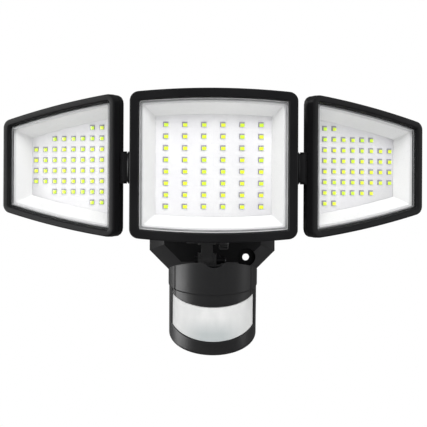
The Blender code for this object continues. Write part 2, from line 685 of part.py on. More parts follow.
def main():
    clear_scene()
    looks = {
        "black": material("black_plastic", (0.022, 0.022, 0.024), 0.45),
        "dark_metal": material("black_hardware", (0.05, 0.05, 0.055), 0.35, 0.8),
        "steel": material("zinc_plate", (0.55, 0.56, 0.58), 0.35, 1.0),
        "rubber": material("rubber", (0.03, 0.03, 0.03), 0.8),
        "white": material("white_plastic", (0.88, 0.88, 0.88), 0.5),
        "clear": material("clear_lens", (0.9, 0.93, 0.95), 0.05, 0.0, 0.25),
        "frosted": material("frosted_lens", (0.85, 0.87, 0.87), 0.4),
        "board_green": material("circuit_board", (0.03, 0.2, 0.07), 0.5),
    }
    base = joint_frame("base_frame", (0.0, 0.0, 0.0))
    build_base(base, looks)
    build_arm(base, looks)
    centre = joint_frame("centre_head_joint", (0.0, *HEAD_PIVOT))
    build_centre_head(centre, looks)
    knob = joint_frame("head_clamp_joint", (0.0, *HEAD_PIVOT))
    build_clamp_knob(knob, looks)
    for label, sign in (("left", -1), ("right", 1)):
        build_side_head(label, sign, centre, looks)
    tilt = joint_frame("sensor_tilt_joint", (0.0, *SENSOR_PIVOT), (SENSOR_TILT, 0.0, 0.0))
    swivel = joint_frame("sensor_swivel_joint", (0.0, 0.0, 0.0), parent=tilt)
    build_sensor_top(tilt, swivel, looks)
    build_lens(swivel, looks)
    build_sensor_bottom(swivel, looks)


main()
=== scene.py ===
"""Looks of the three-head security floodlight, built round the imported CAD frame.

Metres and +Z up as in the frame; the constants below are in millimetres, as in the CAD source.
"""

import json
import math

import bmesh
import bpy
from mathutils import Matrix, Vector


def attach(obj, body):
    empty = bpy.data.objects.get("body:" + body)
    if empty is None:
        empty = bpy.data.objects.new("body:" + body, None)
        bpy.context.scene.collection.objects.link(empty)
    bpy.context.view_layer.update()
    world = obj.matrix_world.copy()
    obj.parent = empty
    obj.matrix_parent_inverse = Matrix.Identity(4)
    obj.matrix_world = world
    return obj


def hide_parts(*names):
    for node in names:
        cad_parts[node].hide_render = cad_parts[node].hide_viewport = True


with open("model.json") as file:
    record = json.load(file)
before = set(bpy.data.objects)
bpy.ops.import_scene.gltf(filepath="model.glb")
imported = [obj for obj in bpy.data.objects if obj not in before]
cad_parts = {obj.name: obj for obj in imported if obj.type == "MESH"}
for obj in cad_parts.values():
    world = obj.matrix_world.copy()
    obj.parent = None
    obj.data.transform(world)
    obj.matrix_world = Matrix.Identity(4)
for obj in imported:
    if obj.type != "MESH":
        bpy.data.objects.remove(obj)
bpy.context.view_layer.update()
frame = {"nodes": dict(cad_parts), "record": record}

MM = 0.001
NODES = frame["nodes"]
BODY_OF = {node: body for body, nodes in frame["record"]["behaviour"]["bodies"].items()
           for node in nodes}

# Heads, as in the CAD: depths run back from the bezel's front
CENTRE = {
    "u": (-65.4, 65.4), "half": (56.5, 56.5), "bulge": 3.6, "corner": 7.4,
    "bezel": 7.7, "rim": 11.7, "floor": 20.0,
}
SIDE = {
    "u": (3.2, 111.2), "half": (56.5, 35.8), "bulge": 2.0, "corner": 7.0,
    "bezel": 5.8, "rim": 9.8, "floor": 17.0,
}
ARC_STEPS = 28
CORNER_STEPS = 10
LEAST_CORNER = 1.0
HEAD_CENTRE_Z = 37.4
SIDE_CENTRE_Z = 37.0
HEAD_FRONT_Y = -110.0
HINGE_PLACE = (70.2, -96.0, 35.5)
REST_SWING = 33.0
SIDE_FRONT = 8.3
BEZEL_DEPTH = 7.4
BEZEL_ROUND = 1.3
BEZEL_LIP = 3.1
COVER_DEPTH = (3.4, 5.4)
COVER_GAP = 0.7  # between the bezel's window and the cover's raised step
REFLECTOR_TOP = 5.7
BOARD_FRONT = 17.3
BOARD_BACK = 18.8

# LEDs
CENTRE_PITCH = (14.88, 9.13)
SIDE_PITCH = (9.12, 8.4)
SIDE_FIRST_U = 26.5
SIDE_RISE = 0.9
SIDE_ROWS = (2, 6, 8, 8, 8, 8, 6, 2)  # LEDs in each row
# Both solids of an LED: across and up from its place, and how far front and back stand out
PACKAGE = {"u": (-2.5, 1.75), "w": (-1.75, 2.15), "out": (0.75, 0.01), "edge": 0.25}
WELL = {"u": (-1.55, 1.75), "w": (-1.65, 0.95), "out": (0.95, 0.70), "edge": 0.18}

# Sensor drum, in the frame of its tilt pivot. A slanting edge is its height at the drum's axis and
# its rise for each millimetre towards the wall.
SENSOR_PLACE = (0.0, -70.0, -37.0)
SENSOR_TILT = 14.0
DRUM_Y = -2.5
DRUM_RADIUS = 34.9
BROW_RADIUS = 34.3
DRUM_WALL = 2.2
HOOD_TOP = (-6.2, -0.418)
RIDGE = -18.5
LENS_TOP = (-19.5, 0.256)
LENS_BOTTOM = (-42.9, 0.40)
DRUM_BOTTOM = (-60.0, 0.24)
SEAT = -12.8
POCKET_RADIUS = 15.9
POCKET_WALL = 1.6
NOTCH = (0.8, 13.4, 10.0)  # centre in X and Z, radius
SPLIT_FORWARD = 17.6
WINDOW_FORWARD = 11.6
LENS_ANGLE = 68.3
LENS_RADIUS = 33.8
LENS_WALL = 1.2
POST_RADIUS = 6.0
KNOB_RADIUS = 4.6
KNOB_PITCH = 14.0
GAP = 0.3
DRUM_SIDES = 128
FAR = 80.0  # past the drum on every side

# Rounding of edges: on CAD nodes, and on the sensor's fine pieces
NODE_ROUND = 0.5
SENSOR_ROUND = 0.35

# Camera, in metres and degrees
CAMERA_PLACE = (-0.019, -2.16, 0.0)
CAMERA_YAW = -0.53
CAMERA_ROLL = 0.28
FOCAL_LENGTH = 223.3

# Floor, in metres
FLOOR_RADIUS = 1.7
FLOOR_Z = -0.32

# Studio light: the white room as it lights, as gloss mirrors it, and as the camera sees it at 1
FILL = 0.74
MIRRORED = 0.16
WHITE = (1.0, 1.0, 1.0, 1.0)


# Materials

class Look:
    """A material with one Principled shader, and short ways to feed it."""

    def __init__(self, name, roughness=0.5, metallic=0.0, specular=0.5, coat=0.0, coat_roughness=0.1):
        self.mat = bpy.data.materials.new(name)
        self.mat.use_nodes = True
        self.tree = self.mat.node_tree
        self.shader = self.tree.nodes["Principled BSDF"]
        self.output = self.tree.nodes["Material Output"]
        self.shader.inputs["Roughness"].default_value = roughness
        self.shader.inputs["Metallic"].default_value = metallic
        self.shader.inputs["Specular IOR Level"].default_value = specular
        self.shader.inputs["Coat Weight"].default_value = coat
        self.shader.inputs["Coat Roughness"].default_value = coat_roughness
        self.place = self.node("ShaderNodeTexCoord").outputs["Object"]

    def node(self, kind, **settings):
        made = self.tree.nodes.new(kind)
        for key, value in settings.items():
            setattr(made, key, value)
        return made

    def link(self, source, target):
        self.tree.links.new(source, target)

    def noise(self, scale, detail=3.0, stretch=None):
        place = self.place
        if stretch:
            mapping = self.node("ShaderNodeMapping")
            mapping.inputs["Scale"].default_value = stretch
            self.link(place, mapping.inputs["Vector"])
            place = mapping.outputs["Vector"]
        texture = self.node("ShaderNodeTexNoise")
        texture.inputs["Scale"].default_value = scale
        texture.inputs["Detail"].default_value = detail
        self.link(place, texture.inputs["Vector"])
        return texture.outputs["Fac"]

    def ramp(self, source, low, high, low_at=0.3, high_at=0.7):
        """A colour between two, as the source goes from one place to the other."""
        made = self.node("ShaderNodeValToRGB")
        first, last = made.color_ramp.elements
        first.position, last.position = low_at, high_at
        first.color, last.color = (*low, 1.0), (*high, 1.0)
        self.link(source, made.inputs["Fac"])
        return made.outputs["Color"]

    def spread(self, source, low, high, low_at=0.3, high_at=0.7):
        """A number between two, as the source goes from one place to the other."""
        made = self.node("ShaderNodeMapRange")
        for name, value in (("From Min", low_at), ("From Max", high_at), ("To Min", low), ("To Max", high)):
            made.inputs[name].default_value = value
        self.link(source, made.inputs["Value"])
        return made.outputs["Result"]

    def mix(self, share, a, b):
        made = self.node("ShaderNodeMix", data_type="RGBA")
        for value, socket in ((share, made.inputs[0]), (a, made.inputs[6]), (b, made.inputs[7])):
            if isinstance(value, (tuple, float)):
                socket.default_value = (*value, 1.0) if isinstance(value, tuple) else value
            else:
                self.link(value, socket)
        return made.outputs[2]

    def math(self, operation, a, b=0.0):
        made = self.node("ShaderNodeMath", operation=operation)
        for value, socket in zip((a, b), made.inputs):
            if isinstance(value, float):
                socket.default_value = value
            else:
                self.link(value, socket)
        return made.outputs[0]

    def bump(self, height, strength, distance_mm):
        made = self.node("ShaderNodeBump")
        made.inputs["Strength"].default_value = strength
        made.inputs["Distance"].default_value = distance_mm * MM
        self.link(height, made.inputs["Height"])
        self.link(made.outputs["Normal"], self.shader.inputs["Normal"])

    def feed(self, **sockets):
        names = {"colour": "Base Color", "roughness": "Roughness"}
        for key, source in sockets.items():
            self.link(source, self.shader.inputs[names[key]])
        return self


def moulded(name, dark, light, roughness, grain, edge=1.6, specular=0.14):
    """Moulded or painted black: fine grain, slow blotches of tone, and paler edges, which are wear and,
    where the edge factor is high, a painted highlight.
    """
    look = Look(name, roughness, specular=specular)
    fine = look.noise(grain, 4.0)
    slow = look.noise(26.0, 2.0)
    tone = look.mix(look.spread(slow, 0.0, 1.0), dark, light)
    speck = look.mix(look.spread(fine, 0.0, 0.35, 0.35, 0.75), tone, tuple(1.5 * c for c in light))
    # Paler convex edges: wear, and on the knob, whose edge factor is high, a painted highlight.
    pointed = look.node("ShaderNodeNewGeometry").outputs["Pointiness"]
    edge_wear_and_highlight = look.spread(pointed, 0.0, 0.5, 0.52, 0.62)
    look.feed(colour=look.mix(edge_wear_and_highlight, speck, tuple(edge * c for c in light)),
              roughness=look.spread(slow, roughness - 0.05, roughness + 0.06))
    look.bump(fine, 0.22, 0.06)
    return look.mat


def hardware(name, dark, light, roughness):
    """Plated or blackened steel with fine turning marks."""
    look = Look(name, roughness, metallic=1.0)
    streaks = look.noise(900.0, 3.0, (1.0, 1.0, 6.0))
    look.feed(colour=look.ramp(streaks, dark, light),
              roughness=look.spread(streaks, roughness, roughness + 0.2))
    look.bump(streaks, 0.15, 0.03)
    return look.mat


def white_moulding(name, low, high, roughness):
    look = Look(name, roughness)
    slow = look.noise(18.0, 2.0)
    fine = look.noise(700.0, 3.0)
    look.feed(colour=look.ramp(slow, low, high),
              roughness=look.spread(fine, roughness - 0.06, roughness + 0.08))
    look.bump(fine, 0.12, 0.03)
    return look.mat


def led_board_white():
    """White solder mask over faint copper tracks."""
    look = Look("led_board_mask", 0.38)
    tracks = look.node("ShaderNodeTexBrick", offset=0.5)
    turn = look.node("ShaderNodeMapping")
    turn.inputs["Rotation"].default_value = (math.radians(90), 0.0, 0.0)
    look.link(look.place, turn.inputs["Vector"])
    look.link(turn.outputs["Vector"], tracks.inputs["Vector"])
    for key, value in (("Scale", 60.0), ("Mortar Size", 0.03), ("Mortar Smooth", 0.6),
                       ("Brick Width", 0.9), ("Row Height", 0.55)):
        tracks.inputs[key].default_value = value
    slow = look.noise(40.0, 2.0)
    mask = look.ramp(slow, (0.70, 0.695, 0.715), (0.74, 0.74, 0.745))
    lined = look.spread(tracks.outputs["Fac"], 0.0, 0.35, 0.0, 1.0)
    look.feed(colour=look.mix(lined, mask, (0.66, 0.66, 0.68)),
              roughness=look.spread(slow, 0.34, 0.44))
    look.bump(tracks.outputs["Fac"], 0.25, 0.04)
    return look.mat


def phosphor():
    look = Look("led_phosphor_painted_glow", 0.25, coat=0.4)
    tint = look.noise(55.0, 1.0)
    grain = look.noise(3000.0, 2.0)
    body = look.ramp(tint, (0.56, 0.88, 0.004), (0.72, 0.84, 0.006), 0.35, 0.62)
    look.feed(colour=look.mix(look.spread(grain, 0.0, 0.15), body, (0.72, 0.90, 0.06)))
    # Painted glow: a faint emission brightens the phosphor, though the LEDs give no light here.
    look.shader.inputs["Emission Color"].default_value = (0.62, 0.95, 0.03, 1.0)
    look.shader.inputs["Emission Strength"].default_value = 0.12
    return look.mat


def led_package():
    look = Look("led_package", 0.4)
    grain = look.noise(1500.0, 2.0)
    look.feed(colour=look.ramp(grain, (0.20, 0.19, 0.23), (0.34, 0.33, 0.37)))
    look.bump(grain, 0.1, 0.02)
    return look.mat


def clear_cover():
    """A clear moulded cover: it mirrors a little and otherwise lets the reflector show."""
    look = Look("clear_cover", 0.04)
    dust = look.noise(260.0, 5.0)
    clear = look.node("ShaderNodeBsdfTransparent")
    look.feed(roughness=look.spread(dust, 0.03, 0.12))
    look.shader.inputs["Base Color"].default_value = (0.9, 0.92, 0.93, 1.0)
    fresnel = look.node("ShaderNodeFresnel")
    fresnel.inputs["IOR"].default_value = 1.45
    haze = look.spread(dust, 0.0, 0.03, 0.45, 0.8)
    front = look.math("SUBTRACT", 1.0, look.node("ShaderNodeNewGeometry").outputs["Backfacing"])
    share = look.math("MULTIPLY", look.math("ADD", fresnel.outputs["Fac"], haze), front)
    join = look.node("ShaderNodeMixShader")
    look.link(share, join.inputs["Fac"])
    look.link(clear.outputs["BSDF"], join.inputs[1])
    look.link(look.shader.outputs["BSDF"], join.inputs[2])
    look.link(join.outputs["Shader"], look.output.inputs["Surface"])
    return look.mat


def cover_edge():
    """The cover's stepped rim, coloured grey as a painted reflection of the dark frame that it bends into
    view.
    """
    look = Look("clear_cover_edge_painted_reflection", 0.12)
    band = look.noise(60.0, 2.0)
    # Painted reflection: this grey stands in for the dark frame seen through the rim.
    look.feed(colour=look.ramp(band, (0.20, 0.205, 0.21), (0.30, 0.305, 0.31)))
    look.shader.inputs["Alpha"].default_value = 0.8
    return look.mat


def fresnel_lens():
    """Milky polyethylene with painted shade towards its bottom and front, where the hollow behind it would
    show dark, and with rings and panel lines.
    """
    look = Look("sensor_lens_white", 0.42, specular=0.4)
    local = look.node("ShaderNodeVectorMath", operation="SUBTRACT")
    look.link(look.place, local.inputs[0])
    local.inputs[1].default_value = [c * MM for c in SENSOR_PLACE]
    turn = look.node("ShaderNodeVectorRotate", rotation_type="X_AXIS")
    turn.inputs["Angle"].default_value = -math.radians(SENSOR_TILT)
    look.link(local.outputs["Vector"], turn.inputs["Vector"])
    parts = look.node("ShaderNodeSeparateXYZ")
    look.link(turn.outputs["Vector"], parts.inputs["Vector"])
    x, y, z = parts.outputs
    forward = look.math("SUBTRACT", DRUM_Y * MM, y)
    angle = look.math("ARCTAN2", x, forward)
    column = look.math("MULTIPLY", angle, 3.6)
    row = look.math("MULTIPLY", look.math("ADD", z, look.math("MULTIPLY", forward, 0.36)), 105.0)
    cell_x = look.math("SUBTRACT", look.math("FRACT", look.math("ADD", column, 20.5)), 0.5)
    cell_z = look.math("SUBTRACT", look.math("FRACT", look.math("ADD", row, 20.35)), 0.5)
    across = look.math("POWER", look.math("ABSOLUTE", cell_x), 2.0)
    up = look.math("POWER", look.math("ABSOLUTE", cell_z), 2.0)
    rings = look.math("FRACT", look.math("MULTIPLY", look.math("ADD", across, up), 26.0))
    seam = look.spread(look.math("ABSOLUTE", cell_x), 0.0, 1.0, 0.485, 0.5)
    # Painted shade: a mask of low, forward-facing places darkens the lens, standing in for the hollow
    # behind it.
    depth = look.spread(z, 1.0, 0.0, -0.050, -0.037)
    facing = look.spread(look.math("ABSOLUTE", angle), 1.0, 0.0, 0.25, 1.0)
    hollow = look.math("MULTIPLY", depth, facing)
    cloud = look.noise(70.0, 3.0, (2.5, 1.0, 1.0))
    white = look.ramp(cloud, (0.61, 0.615, 0.61), (0.66, 0.66, 0.655))
    # The painted shade colour is mixed in here, by that mask.
    body = look.mix(look.math("MULTIPLY", hollow, 0.8), white, (0.37, 0.405, 0.41))
    lined = look.mix(look.math("MULTIPLY", seam, 0.12), body, (0.4, 0.42, 0.43))
    look.feed(colour=lined, roughness=look.spread(cloud, 0.36, 0.5))
    look.shader.inputs["Subsurface Weight"].default_value = 0.25
    look.shader.inputs["Subsurface Radius"].default_value = (0.003, 0.003, 0.003)
    look.bump(look.math("ADD", rings, seam), 0.16, 0.12)
    return look.mat


def rubber():
    look = Look("rubber", 0.8, specular=0.3)
    grain = look.noise(1400.0, 4.0)
    look.feed(colour=look.ramp(grain, (0.012, 0.012, 0.012), (0.03, 0.03, 0.03)))
    look.bump(grain, 0.3, 0.05)
    return look.mat


def circuit_board():
    look = Look("circuit_board", 0.4)
    tracks = look.node("ShaderNodeTexVoronoi", feature="DISTANCE_TO_EDGE", distance="MANHATTAN")
    tracks.inputs["Scale"].default_value = 220.0
    look.link(look.place, tracks.inputs["Vector"])
    line = look.spread(tracks.outputs["Distance"], 1.0, 0.0, 0.02, 0.06)
    look.feed(colour=look.mix(line, (0.01, 0.11, 0.045), (0.03, 0.20, 0.08)))
    look.bump(line, 0.4, 0.05)
    return look.mat


def zinc():
    look = Look("zinc_plate", 0.35, metallic=1.0)
    flakes = look.node("ShaderNodeTexVoronoi")
    flakes.inputs["Scale"].default_value = 260.0
    look.link(look.place, flakes.inputs["Vector"])
    shade = look.node("ShaderNodeSeparateColor")
    look.link(flakes.outputs["Color"], shade.inputs["Color"])
    look.feed(colour=look.ramp(shade.outputs[0], (0.50, 0.51, 0.53), (0.66, 0.67, 0.69), 0.0, 1.0),
              roughness=look.spread(shade.outputs[1], 0.28, 0.42, 0.0, 1.0))
    return look.mat


LOOKS = {
    "shell": moulded("black_shell", (0.0055, 0.0055, 0.006), (0.009, 0.009, 0.0096), 0.42, 1500.0),
    "sensor": moulded("black_sensor", (0.008, 0.008, 0.0086), (0.012, 0.012, 0.0128), 0.46, 1800.0,
                      specular=0.5),
    # Painted light: the base is a lightened copy of the black, standing in for light that its shaded front
    # face lacks.
    "base": moulded("black_base_painted_light", (0.013, 0.013, 0.0138), (0.018, 0.018, 0.019), 0.42, 1500.0),
    # Painted light: arms and yokes are a lightened copy of the black, standing in for light that the heads
    # keep off them.
    "cast": moulded("black_cast_painted_light", (0.055, 0.055, 0.056), (0.070, 0.070, 0.071), 0.42, 900.0, specular=0.5),
    # Painted light: the knob is a lightened copy of the black, and its edge factor of 3.0 paints bright
    # highlights on its edges.
    "knob": moulded("black_knob_painted_light", (0.030, 0.030, 0.031), (0.045, 0.045, 0.046), 0.3, 900.0, 3.0, 0.8),
    "hardware": hardware("black_hardware", (0.05, 0.05, 0.055), (0.12, 0.12, 0.125), 0.3),
    "bright": hardware("bright_can", (0.55, 0.55, 0.56), (0.72, 0.72, 0.72), 0.22),
    "zinc": zinc(),
    "rubber": rubber(),
    "reflector": white_moulding("reflector_white", (0.67, 0.67, 0.675), (0.72, 0.72, 0.72), 0.38),
    "dial": white_moulding("dial_white", (0.66, 0.66, 0.64), (0.76, 0.76, 0.74), 0.45),
    "board": led_board_white(),
    "package": led_package(),
    "phosphor": phosphor(),
    "cover": clear_cover(),
    "cover_edge": cover_edge(),
    "sensor_lens": fresnel_lens(),
    "circuit": circuit_board(),
}


# Mesh helpers

def finish_piece(name, bm, looks, node, smooth=40.0, replaces=True):
    bmesh.ops.recalc_face_normals(bm, faces=bm.faces)
    bmesh.ops.scale(bm, vec=(MM, MM, MM), verts=bm.verts)
    mesh = bpy.data.meshes.new(name)
    bm.to_mesh(mesh)
    bm.free()
    for look in looks:
        mesh.materials.append(LOOKS[look])
    mesh.shade_smooth()
    mesh.set_sharp_from_angle(angle=math.radians(smooth))
    obj = bpy.data.objects.new(name, mesh)
    bpy.context.scene.collection.objects.link(obj)
    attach(obj, BODY_OF[node])
    if replaces:
        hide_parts(node)
    return obj


def loft(rings, closed=False, bm=None, rows_look=None):
    """A surface through rings of equal count: capped at both ends, or closed round on itself."""
    bm = bm or bmesh.new()
    rows = [[bm.verts.new(point) for point in ring] for ring in rings]
    count = len(rows[0])
    pairs = list(zip(rows, rows[1:]))
    if closed:
        pairs.append((rows[-1], rows[0]))
    else:
        bm.faces.new(rows[0])
        bm.faces.new(list(reversed(rows[-1])))
    for place, (lower, upper) in enumerate(pairs):
        for k in range(count):
            n = (k + 1) % count
            face = bm.faces.new((lower[k], upper[k], upper[n], lower[n]))
            if rows_look and place in rows_look:
                face.material_index = rows_look[place]
    return bm


def rounded(points, radii, steps):
    outline = []
    count = len(points)
    for k, (point, radius) in enumerate(zip(points, radii)):
        here = Vector(point)
        if radius == 0.0:
            outline.append(tuple(here))
            continue
        before = (Vector(points[k - 1]) - here).normalized()
        after = (Vector(points[(k + 1) % count]) - here).normalized()
        half = before.angle(after) / 2
        start = here + before * (radius / math.tan(half))
        middle = here + (before + after).normalized() * (radius / math.sin(half))
        arm = start - middle
        turn = math.pi - 2 * half
        sense = 1.0 if before.cross(after) < 0 else -1.0
        for step in range(steps + 1):
            spun = Matrix.Rotation(sense * turn * step / steps, 2) @ arm
            outline.append(tuple(middle + spun))
    return outline


def head_outline(shape, inset):
    left, right = shape["u"]
    half_left, half_right = shape["half"]
    slope = (half_right - half_left) / (right - left)
    corner = max(shape["corner"] - inset, LEAST_CORNER)
    start, end = left + inset, right - inset

    def half_height(u):
        t = (u - left) / (right - left)
        bulge = 4 * shape["bulge"] * t * (1 - t)
        return half_left + slope * (u - left) + bulge - inset * math.hypot(1, slope)

    # The arc's own points stay clear of the rounded corners, so that no edge folds back.
    clear = corner * 1.3
    across = [start] + [start + clear + (end - start - 2 * clear) * k / ARC_STEPS
                        for k in range(ARC_STEPS + 1)] + [end]
    top = [(u, half_height(u)) for u in across]
    points = top + [(u, -w) for u, w in reversed(top)]
    radii = [0.0] * len(points)
    for place in (0, len(top) - 1, len(top), -1):
        radii[place] = corner
    return rounded(points, radii, CORNER_STEPS)


def head_rings(shape, profile):
    return [[Vector((u, depth, w)) for u, w in head_outline(shape, inset)] for inset, depth in profile]


def arc(centre, radius, first, last, steps):
    """Points on an arc in a profile, by angle in degrees."""
    angles = [math.radians(first + (last - first) * k / steps) for k in range(steps + 1)]
    return [(centre[0] + radius * math.cos(a), centre[1] + radius * math.sin(a)) for a in angles]


def centre_place():
    return Matrix.Translation((0.0, HEAD_FRONT_Y, HEAD_CENTRE_Z))


def side_place(sign):
    hinge = Matrix.Translation(HINGE_PLACE) @ Matrix.Rotation(math.radians(REST_SWING), 4, "Z")
    right = hinge @ Matrix.Translation((0.0, -SIDE_FRONT, SIDE_CENTRE_Z - HINGE_PLACE[2]))
    return right if sign > 0 else Matrix.Scale(-1, 4, (1, 0, 0)) @ right


# Lamp heads

def build_bezel(label, shape, place):
    window = shape["bezel"]
    profile = arc((BEZEL_ROUND, BEZEL_ROUND), BEZEL_ROUND, 180.0, 270.0, 6)
    profile += [(window - 1.6, 0.0), (window - 1.35, 0.06), (window - 0.75, 0.6), (window - 0.6, 0.9)]
    profile += [(window - 0.1, BEZEL_LIP - 0.2), (window, BEZEL_LIP), (2.6, BEZEL_LIP)]
    profile += [(2.6, BEZEL_DEPTH), (0.25, BEZEL_DEPTH), (0.0, BEZEL_DEPTH - 0.25)]
    bm = loft(head_rings(shape, profile), closed=True)
    bm.transform(place)
    finish_piece(f"{label}_bezel_look", bm, ["shell"], f"{label}_bezel")


def build_cover(label, shape, place):
    """The clear cover: a flange under the bezel, a raised step inside it and a flat face."""
    front, back = COVER_DEPTH
    step = shape["bezel"] + COVER_GAP
    profile = [(3.0, back), (3.0, front), (step, front), (step + 0.7, front - 0.6),
               (step + 1.5, front - 0.8), (step + 3.0, front - 0.8)]
    rings = head_rings(shape, profile)
    bm = loft(rings, rows_look={2: 1, 3: 1})
    bm.transform(place)
    finish_piece(f"{label}_lens_look", bm, ["cover", "cover_edge"], f"{label}_lens", smooth=25.0)


def build_reflector(label, shape, place):
    rim, floor = shape["rim"], shape["floor"]
    top, bottom = REFLECTOR_TOP, BOARD_FRONT - GAP
    profile = [(6.7, top), (rim - 1.0, top), (rim - 0.5, top + 0.1), (rim, top + 0.6)]
    profile += [(floor - 0.6, bottom - 0.7), (floor, bottom), (floor - 1.4, bottom)]
    profile += [(rim - 1.4, top + 1.8), (6.7, top + 1.4)]
    bm = loft(head_rings(shape, profile), closed=True)
    bm.transform(place)
    finish_piece(f"{label}_reflector_look", bm, ["reflector"], f"{label}_reflector", smooth=28.0)


def led_places(label):
    """(u, w) of every LED, in head coordinates."""
    if label == "centre":
        pitch_u, pitch_w = CENTRE_PITCH
        return [((k - 2.5) * pitch_u, (3.5 - n) * pitch_w) for n in range(8) for k in range(6)]
    pitch_u, pitch_w = SIDE_PITCH
    return [(SIDE_FIRST_U + k * pitch_u, (3.5 - n) * pitch_w + SIDE_RISE)
            for n, count in enumerate(SIDE_ROWS) for k in range(count)]


def soft_box(bm, low, high, edge):
    """A box standing towards -Y with its front edges bevelled."""
    (x0, y0, z0), (x1, y1, z1) = low, high
    rings = []
    for inset, y in ((0.0, y1), (0.0, y0 + edge), (edge * 0.3, y0 + edge * 0.3), (edge, y0)):
        rings.append([Vector(c) for c in ((x0 + inset, y, z0 + inset), (x1 - inset, y, z0 + inset),
                                          (x1 - inset, y, z1 - inset), (x0 + inset, y, z1 - inset))])
    loft(rings, bm=bm)


def build_board(label, shape, place, sign):
    """The board with its 48 packages; each has a tub and a well of phosphor."""
    edge = shape["floor"] - 3.0
    profile = [(edge, BOARD_BACK), (edge, BOARD_FRONT + 0.2), (edge + 0.2, BOARD_FRONT)]
    board = loft(head_rings(shape, profile))
    board.transform(place)
    finish_piece(f"{label}_board_look", board, ["board"], f"{label}_led_board")
    tubs, wells = bmesh.new(), bmesh.new()
    flip = sign if label != "centre" else 1
    for u, w in led_places(label):
        for bm, solid in ((tubs, PACKAGE), (wells, WELL)):
            left, right = sorted(u + flip * side for side in solid["u"])
            low, high = solid["w"]
            front, back = (BOARD_FRONT - out for out in solid["out"])
            soft_box(bm, (left, front, w + low), (right, back, w + high), solid["edge"])
    for bm, kind, look in ((tubs, "packages", "package"), (wells, "phosphor", "phosphor")):
        bm.transform(place)
        finish_piece(f"{label}_{kind}", bm, [look], f"{label}_led_board", replaces=False)


def build_heads():
    for label, shape, sign in (("centre", CENTRE, 1), ("left", SIDE, -1), ("right", SIDE, 1)):
        place = centre_place() if label == "centre" else side_place(sign)
        build_bezel(label, shape, place)
        build_cover(label, shape, place)
        build_reflector(label, shape, place)
        build_board(label, shape, place, sign)


# Sensor drum

def drum_ring(radius, height, slope=0.0, angles=None):
    if angles is None:
        angles = [360.0 * k / DRUM_SIDES for k in range(DRUM_SIDES)]
    ring = []
    for angle in angles:
        forward = radius * math.cos(math.radians(angle))
        side = radius * math.sin(math.radians(angle))
        ring.append(Vector((side, DRUM_Y - forward, height - slope * forward)))
    return ring


def sensor_place():
    return Matrix.Translation(SENSOR_PLACE) @ Matrix.Rotation(math.radians(SENSOR_TILT), 4, "X")


def build_sensor_lens():
    count = 56
    angles = [-LENS_ANGLE + 2 * LENS_ANGLE * k / count for k in range(count + 1)]
    inner = LENS_RADIUS - LENS_WALL
    top, top_slope = LENS_TOP
    bottom, bottom_slope = LENS_BOTTOM
    rows = []
    steps = 12
    for k in range(steps + 1):
        share = k / steps
        height = (bottom + GAP) * (1 - share) + (top - GAP) * share
        slope = bottom_slope * (1 - share) + top_slope * share
        rows.append(drum_ring(LENS_RADIUS, height, slope, angles))
    rows.append(drum_ring(inner, top - GAP, top_slope, angles))
    rows.append(drum_ring(inner, bottom + GAP, bottom_slope, angles))
    bm = loft([list(column) for column in zip(*rows)])
    bm.transform(sensor_place())
    finish_piece("sensor_lens_look", bm, ["sensor_lens"], "sensor_lens")


def carve(bm, operation, tool):
    """One solid cut, joined or crossed with another. Both are used up."""
    pair = []
    for solid in (bm, tool):
        bmesh.ops.recalc_face_normals(solid, faces=solid.faces)
        mesh = bpy.data.meshes.new("carving")
        solid.to_mesh(mesh)
        solid.free()
        obj = bpy.data.objects.new("carving", mesh)
        bpy.context.scene.collection.objects.link(obj)
        pair.append(obj)
    target, cutter = pair
    modifier = target.modifiers.new("Carve", "BOOLEAN")
    modifier.solver = "EXACT"
    modifier.operation = operation
    modifier.object = cutter
    evaluated = target.evaluated_get(bpy.context.evaluated_depsgraph_get())
    result = bmesh.new()
    result.from_mesh(evaluated.to_mesh())
    evaluated.to_mesh_clear()
    for obj in pair:
        mesh = obj.data
        bpy.data.objects.remove(obj)
        bpy.data.meshes.remove(mesh)
    return result


def rod(centre, radius, low, high, axis, sides=96):
    """A round bar along Y or Z through a centre in the plane across it."""
    rings = []
    for place in (low, high):
        ring = []
        for k in range(sides):
            angle = 2 * math.pi * k / sides
            a, b = centre[0] + radius * math.cos(angle), centre[1] + radius * math.sin(angle)
            ring.append(Vector((a, place, b) if axis == "y" else (a, b, place)))
        rings.append(ring)
    return loft(rings)


def slab(outline):
    """An outline in the plane of Y and Z, carried across in X."""
    return loft([[Vector((x, y, z)) for y, z in outline] for x in (-FAR, FAR)])


def plane_side(edge, above):
    """Everything above or below a slanting plane across the drum."""
    height, slope = edge
    outer = FAR if above else -FAR
    return slab([(DRUM_Y - FAR, height - slope * FAR), (DRUM_Y + FAR, height + slope * FAR),
                 (DRUM_Y + FAR, outer + height), (DRUM_Y - FAR, outer + height)])


def round_edges(obj):
    bevel = obj.modifiers.new("Bevel", "BEVEL")
    bevel.width = SENSOR_ROUND * MM
    bevel.segments = 3
    bevel.limit_method = "ANGLE"
    bevel.angle_limit = math.radians(30)
    bevel.use_clamp_overlap = False


